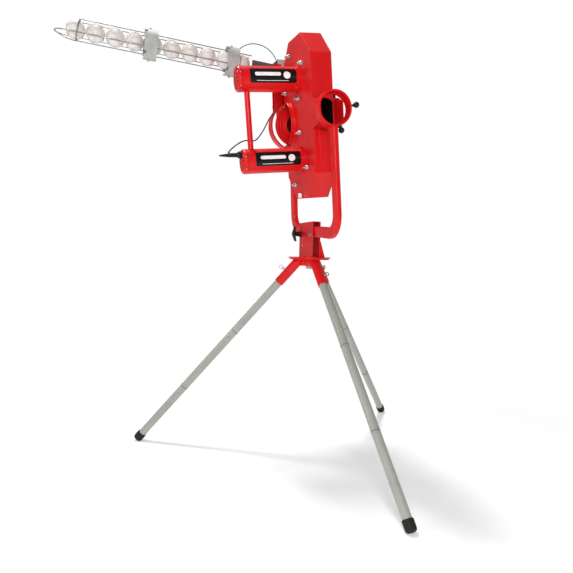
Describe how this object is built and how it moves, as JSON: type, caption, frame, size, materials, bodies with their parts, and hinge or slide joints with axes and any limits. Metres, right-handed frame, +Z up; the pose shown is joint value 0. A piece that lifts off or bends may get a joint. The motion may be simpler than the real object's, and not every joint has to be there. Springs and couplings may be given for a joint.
{
  "type": "baseball pitching machine",
  "caption": "Wheel-type baseball pitching machine: rolling head in a tilting yoke on a tripod, side motors and a sloping wire rack that feeds balls by gravity.",
  "frame": {"origin": "on the floor at the middle of the machine's bounding box; the vertical turntable axis of the stand is at x -0.151 m, y 0.195 m", "axes": "+Z up, +X the way the ball is thrown, motors and ball rack toward -Y"},
  "size_m": [1.2038, 1.6246, 1.7562],
  "materials": {
    "red_paint": "gloss powder coat",
    "silver_paint": "satin silver-grey paint",
    "grey_moulding": "grey moulded nylon, light grain",
    "trough_steel": "dark brown-grey enamel",
    "zinc": "bright zinc plate",
    "rack_wire": "zinc-plated spring wire",
    "black_plastic": "black moulded plastic",
    "white_plastic": "natural acetal",
    "foot_rubber": "black rubber",
    "wheel_tyre": "black pneumatic tyre rubber",
    "cast_aluminium": "cast and turned",
    "ball_leather": "white leather with red stitching"
  },
  "bodies": {
    "tripod": {"tripod_plate": "red_paint", "leg_sockets": "red_paint", "leg_upper_tubes": "silver_paint", "leg_middle_tubes": "silver_paint", "leg_lower_tubes": "silver_paint", "rubber_feet": "foot_rubber", "pan_bolt": "zinc", "thrust_washer": "white_plastic", "socket_pins": "zinc"},
    "swivel": {"swivel_plate": "red_paint", "saddle_bracket": "red_paint", "pivot_bolt": "zinc"},
    "yoke": {"yoke_frame": "red_paint", "front_hoop": "red_paint", "rear_hoop": "red_paint", "tilt_bush": "zinc", "drop_chute": "red_paint", "feed_trough": "trough_steel", "rack_inner": "rack_wire", "rack_outer": "rack_wire", "rack_collars": "grey_moulding", "collar_bolts": "zinc", "gate_housing": "grey_moulding", "gate_motor": "black_plastic", "feeder_cable": "black_plastic", "baseballs": "ball_leather", "feeder_post": "red_paint"},
    "head": {"near_side_plate": "red_paint", "far_side_plate": "red_paint", "front_band": "red_paint", "rear_band": "red_paint", "exit_tabs": "red_paint", "access_panel": "red_paint", "intake_disc": "red_paint", "cover_bolts": "zinc", "motor_cans": "red_paint", "motor_caps": "red_paint", "tie_tube": "red_paint", "control_box": "black_plastic", "power_lead": "black_plastic", "wheel_bearings": "zinc"},
    "upper_wheel": {"upper_shaft": "zinc", "upper_hub": "cast_aluminium", "upper_tyre": "wheel_tyre"},
    "lower_wheel": {"lower_shaft": "zinc", "lower_hub": "cast_aluminium", "lower_tyre": "wheel_tyre"},
    "tilt_lock": {"tilt_knob": "black_plastic"},
    "side_clamp": {"roll_knob_side": "black_plastic"},
    "lower_clamp": {"roll_knob_lower": "black_plastic"},
    "gate": {"gate_arm": "white_plastic"},
    "upper_dial": {"upper_speed_dial": "black_plastic"},
    "lower_dial": {"lower_speed_dial": "black_plastic"},
    "rocker": {"power_switch": "black_plastic"},
    "front_upper_catch": {"front_upper_button": "zinc"},
    "front_lower_catch": {"front_lower_button": "zinc"},
    "left_upper_catch": {"left_upper_button": "zinc"},
    "left_lower_catch": {"left_lower_button": "zinc"},
    "rear_upper_catch": {"rear_upper_button": "zinc"},
    "rear_lower_catch": {"rear_lower_button": "zinc"}
  },
  "joints": [
    {"name": "pan", "type": "hinge", "parent": "tripod", "child": "swivel", "pos_m": [-0.151, 0.195, 0.825], "axis": [0, 0, 1], "range_deg": [-45, 45]},
    {"name": "tilt", "type": "hinge", "parent": "swivel", "child": "yoke", "pos_m": [-0.109, 0.195, 0.926], "axis": [0, 1, 0], "range_deg": [-22, 10]},
    {"name": "roll", "type": "hinge", "parent": "yoke", "child": "head", "pos_m": [-0.11489, 0.16047, 1.38524], "axis": [0.9976, 0.0052, -0.0696], "range_deg": [-90, 45]},
    {"name": "upper_wheel_spin", "type": "hinge", "parent": "head", "child": "upper_wheel", "pos_m": [-0.10401, 0.14311, 1.53988], "axis": [0.0026, 0.9938, 0.1114], "continuous": true},
    {"name": "lower_wheel_spin", "type": "hinge", "parent": "head", "child": "lower_wheel", "pos_m": [-0.12576, 0.17783, 1.23059], "axis": [0.0026, 0.9938, 0.1114], "continuous": true},
    {"name": "tilt_lock_turn", "type": "hinge", "parent": "yoke", "child": "tilt_lock", "pos_m": [-0.213, 0.155, 0.92691], "axis": [0, 1, 0], "range_deg": [-180, 180]},
    {"name": "side_clamp_turn", "type": "hinge", "parent": "yoke", "child": "side_clamp", "pos_m": [0.14146, 0.23933, 1.38715], "axis": [0.0121, 0.969, 0.2466], "range_deg": [-180, 180]},
    {"name": "lower_clamp_turn", "type": "hinge", "parent": "yoke", "child": "lower_clamp", "pos_m": [0.13535, 0.19849, 1.29652], "axis": [-0.0642, 0.4585, -0.8864], "range_deg": [-180, 180]},
    {"name": "gate_swing", "type": "hinge", "parent": "yoke", "child": "gate", "pos_m": [-0.45154, -0.01079, 1.66236], "axis": [0.0698, -0.0748, 0.9948], "range_deg": [0, 80]},
    {"name": "upper_dial_turn", "type": "hinge", "parent": "head", "child": "upper_dial", "pos_m": [-0.11128, 0.25699, 1.44424], "axis": [0.0026, 0.9938, 0.1114], "range_deg": [-135, 135]},
    {"name": "lower_dial_turn", "type": "hinge", "parent": "head", "child": "lower_dial", "pos_m": [-0.11797, 0.26767, 1.34907], "axis": [0.0026, 0.9938, 0.1114], "range_deg": [-135, 135]},
    {"name": "rocker_tip", "type": "hinge", "parent": "head", "child": "rocker", "pos_m": [-0.11466, 0.24842, 1.39509], "axis": [0.9976, 0.0052, -0.0696], "range_deg": [-10, 10]},
    {"name": "front_upper_catch_press", "type": "slide", "parent": "tripod", "child": "front_upper_catch", "axis": [-0.5438, 0.736, -0.4032], "range_m": [-0.005, 0]},
    {"name": "front_lower_catch_press", "type": "slide", "parent": "tripod", "child": "front_lower_catch", "axis": [-0.5438, 0.736, -0.4032], "range_m": [-0.005, 0]},
    {"name": "left_upper_catch_press", "type": "slide", "parent": "tripod", "child": "left_upper_catch", "axis": [0.9128, -0.4083, 0], "range_m": [-0.005, 0]},
    {"name": "left_lower_catch_press", "type": "slide", "parent": "tripod", "child": "left_lower_catch", "axis": [0.9128, -0.4083, 0], "range_m": [-0.005, 0]},
    {"name": "rear_upper_catch_press", "type": "slide", "parent": "tripod", "child": "rear_upper_catch", "axis": [-0.81, -0.5864, 0], "range_m": [-0.005, 0]},
    {"name": "rear_lower_catch_press", "type": "slide", "parent": "tripod", "child": "rear_lower_catch", "axis": [-0.81, -0.5864, 0], "range_m": [-0.005, 0]}
  ]
}
